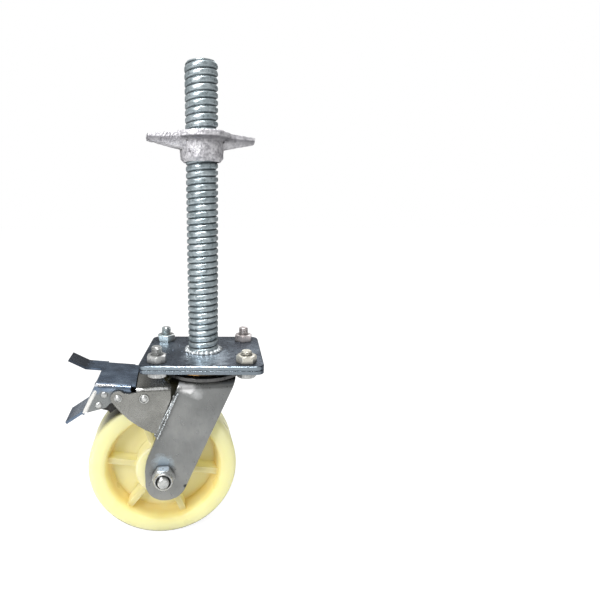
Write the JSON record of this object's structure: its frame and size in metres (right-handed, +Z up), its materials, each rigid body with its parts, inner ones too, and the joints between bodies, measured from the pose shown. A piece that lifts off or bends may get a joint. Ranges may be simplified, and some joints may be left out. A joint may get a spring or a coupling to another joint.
{
  "type": "scaffold castor",
  "caption": "Braked swivel castor bolted under a plate with a tall coarse-threaded stem and a winged adjusting nut, for carrying a scaffold tube",
  "frame": {"origin": "on the stem's axis, which is also the swivel axis, at the top of the stem plate, where the stem starts", "axes": "+Z up along the stem, -X towards the wheel and the brake pedal, Y along the wheel's axle"},
  "size_m": [0.1995, 0.1116, 0.4578],
  "materials": {
    "stem_zinc": "zinc plated, pale bluish, satin",
    "weld_bead": "zinc plated over a rough weld bead",
    "plate_zinc": "zinc plated sheet, dark slate reflection",
    "fastener_zinc": "bright zinc plated fastener",
    "race_gold": "yellow passivated pressed steel",
    "bearing_steel": "plain hardened steel",
    "fork_zinc": "zinc plated pressed steel, satin grey",
    "housing_zinc": "zinc plated folded sheet, warm grey",
    "pedal_zinc": "zinc plated folded sheet",
    "wheel_nylon": "moulded cream nylon, waxy",
    "bush_steel": "plain drawn tube",
    "galvanised_cast": "rough casting, hot dip galvanised"
  },
  "bodies": {
    "head": {"threaded_stem": "stem_zinc", "stem_weld": "weld_bead", "stem_plate": "plate_zinc", "castor_plate": "plate_zinc", "plate_bolts": "fastener_zinc", "plate_nuts": "fastener_zinc", "upper_race": "race_gold", "kingpin": "fastener_zinc", "kingpin_washer": "fastener_zinc", "kingpin_nut": "fastener_zinc"},
    "fork_frame": {"fork": "fork_zinc", "lower_race": "fork_zinc", "ball_ring": "bearing_steel", "brake_housing": "housing_zinc", "housing_welds": "weld_bead", "axle_bolt": "fastener_zinc", "axle_nut": "fastener_zinc", "axle_sleeve": "bush_steel", "hub_washers": "bush_steel", "pedal_pin": "fastener_zinc", "shoe_pin": "fastener_zinc"},
    "wheel": {"wheel": "wheel_nylon", "wheel_bush": "bush_steel"},
    "pedal": {"brake_pedal": "pedal_zinc", "brake_cam": "bush_steel", "pedal_rivets": "fastener_zinc"},
    "shoe": {"brake_shoe": "bush_steel"},
    "wing_nut": {"wing_nut": "galvanised_cast"}
  },
  "joints": [
    {"name": "swivel", "type": "hinge", "parent": "head", "child": "fork_frame", "pos_m": [0, 0, 0], "axis": [0, 0, 1], "continuous": true},
    {"name": "wheel_spin", "type": "hinge", "parent": "fork_frame", "child": "wheel", "pos_m": [-0.0433, 0, -0.1178], "axis": [0, 1, 0], "continuous": true},
    {"name": "pedal_tilt", "type": "hinge", "parent": "fork_frame", "child": "pedal", "pos_m": [-0.083, 0, -0.0334], "axis": [0, -1, 0], "range_deg": [0, 20]},
    {"name": "shoe_press", "type": "hinge", "parent": "fork_frame", "child": "shoe", "pos_m": [-0.0591, 0, -0.0348], "axis": [0, -1, 0], "range_deg": [0, 6.6]},
    {"name": "nut_travel", "type": "slide", "parent": "head", "child": "wing_nut", "axis": [0, 0, 1], "range_m": [-0.169, 0.055]}
  ],
  "couplings": [
    {"joint": "shoe_press", "follows": "pedal_tilt", "ratio": 0.33}
  ]
}
